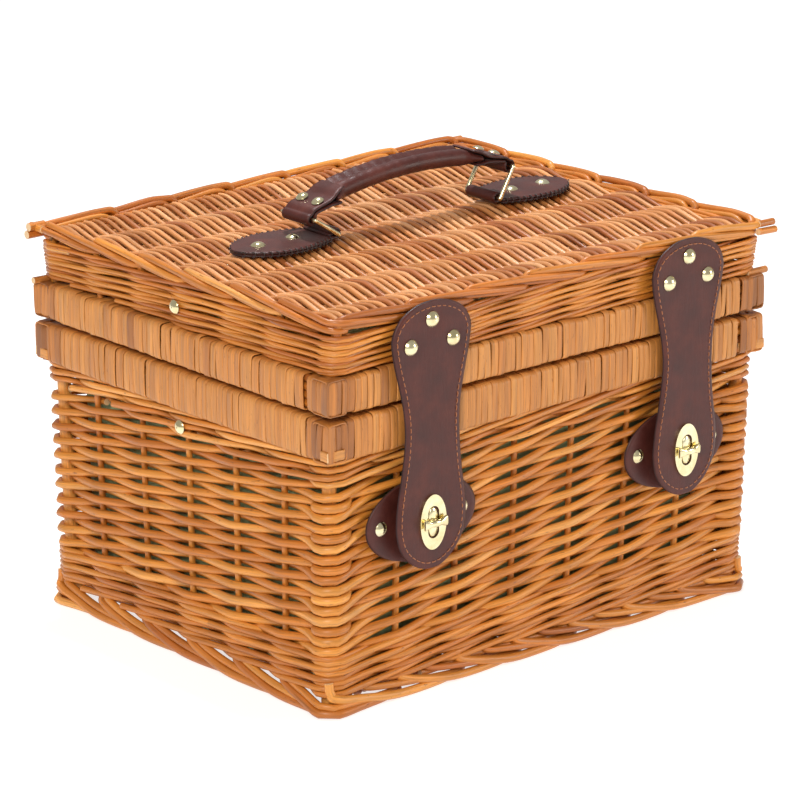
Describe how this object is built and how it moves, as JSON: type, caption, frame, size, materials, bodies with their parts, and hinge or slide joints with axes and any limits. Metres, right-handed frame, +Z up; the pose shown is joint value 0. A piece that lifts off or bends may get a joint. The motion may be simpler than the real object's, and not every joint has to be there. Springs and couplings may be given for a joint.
{
  "type": "wicker basket",
  "caption": "Rectangular willow picnic basket with hinged lid, cane-bound rims, leather turn-lock straps and a leather top handle on brass rings.",
  "frame": {"origin": "bottom centre of the whole object's bounding box", "axes": "+X along the long front towards the viewer's right when facing the latches, +Y to the hinged back, +Z up"},
  "size_m": [0.3602, 0.3055, 0.2903],
  "materials": {
    "willow": "glossy varnished buff willow rods",
    "cane": "satin split cane",
    "leather": "smooth dark brown",
    "brass": "polished pale brass plating",
    "lining": "plain woven cotton"
  },
  "bodies": {
    "base": {"foot_border": "willow", "upsett_wale": "willow", "top_wale": "willow", "wall_weave_front": "willow", "wall_weave_back": "willow", "wall_weave_left": "willow", "wall_weave_right": "willow", "stakes_front_back": "willow", "stakes_left_right": "willow", "corner_posts": "willow", "floor_weave": "willow", "floor_sticks": "willow", "rim_core": "willow", "rim_binding": "cane", "base_lining": "lining", "latch_patch_left": "leather", "latch_patch_right": "leather", "patch_rivets": "brass", "turnlock_seat_left": "brass", "turnlock_seat_right": "brass", "hinge_leaves_base": "leather", "hinge_rivets_base": "brass", "stay_rivets_base": "brass", "lid_stay_left": "lining", "lid_stay_right": "lining"},
    "lid": {"lid_rim_core": "willow", "lid_rim_binding": "cane", "lid_stakes": "willow", "lid_corner_posts": "willow", "lid_side_wale": "willow", "lid_border": "willow", "lid_sticks": "willow", "lid_top_weave": "willow", "lid_lining": "lining", "strap_top_left": "leather", "strap_top_right": "leather", "strap_rivets": "brass", "hinge_leaves_lid": "leather", "hinge_rivets_lid": "brass", "stay_rivets_lid": "brass", "handle_tab_left": "leather", "handle_tab_right": "leather", "tab_rivets": "brass"},
    "flap_left": {"strap_flap_left": "leather", "eyelet_left": "brass"},
    "flap_right": {"strap_flap_right": "leather", "eyelet_right": "brass"},
    "button_left": {"turn_button_left": "brass"},
    "button_right": {"turn_button_right": "brass"},
    "ring_left": {"ring_left": "brass"},
    "grip": {"grip_leather": "leather", "grip_core": "willow", "grip_end_left": "leather", "grip_end_right": "leather", "grip_rivets": "brass"},
    "ring_right": {"ring_right": "brass"}
  },
  "joints": [
    {"name": "lid_hinge", "type": "hinge", "parent": "base", "child": "lid", "pos_m": [0, 0.1496, 0.189], "axis": [-1, 0, 0], "range_deg": [0, 100], "deforming": ["lid_stay_left", "lid_stay_right"]},
    {"name": "strap_left", "type": "hinge", "parent": "lid", "child": "flap_left", "pos_m": [-0.1055, -0.1456, 0.214], "axis": [-1, 0, 0], "range_deg": [0, 105]},
    {"name": "strap_right", "type": "hinge", "parent": "lid", "child": "flap_right", "pos_m": [0.1055, -0.1456, 0.214], "axis": [-1, 0, 0], "range_deg": [0, 105]},
    {"name": "turn_left", "type": "hinge", "parent": "base", "child": "button_left", "pos_m": [-0.1055, -0.1456, 0.1135], "axis": [0, -1, 0], "range_deg": [0, 90]},
    {"name": "turn_right", "type": "hinge", "parent": "base", "child": "button_right", "pos_m": [0.1055, -0.1456, 0.1135], "axis": [0, -1, 0], "range_deg": [0, 90]},
    {"name": "handle_sway", "type": "hinge", "parent": "lid", "child": "ring_left", "pos_m": [-0.059, 0.01, 0.2531], "axis": [0, -1, 0], "range_deg": [-14, 10]},
    {"name": "grip_pivot", "type": "hinge", "parent": "ring_left", "child": "grip", "pos_m": [-0.07755, 0.01, 0.26492], "axis": [0, -1, 0], "range_deg": [-8.6, 12]},
    {"name": "ring_right_pivot", "type": "hinge", "parent": "lid", "child": "ring_right", "pos_m": [0.075, 0.01, 0.2531], "axis": [0, -1, 0], "range_deg": [-9.7, 7]}
  ],
  "couplings": [
    {"joint": "grip_pivot", "follows": "handle_sway", "ratio": -0.84076},
    {"joint": "ring_right_pivot", "follows": "handle_sway", "ratio": 0.68087}
  ]
}
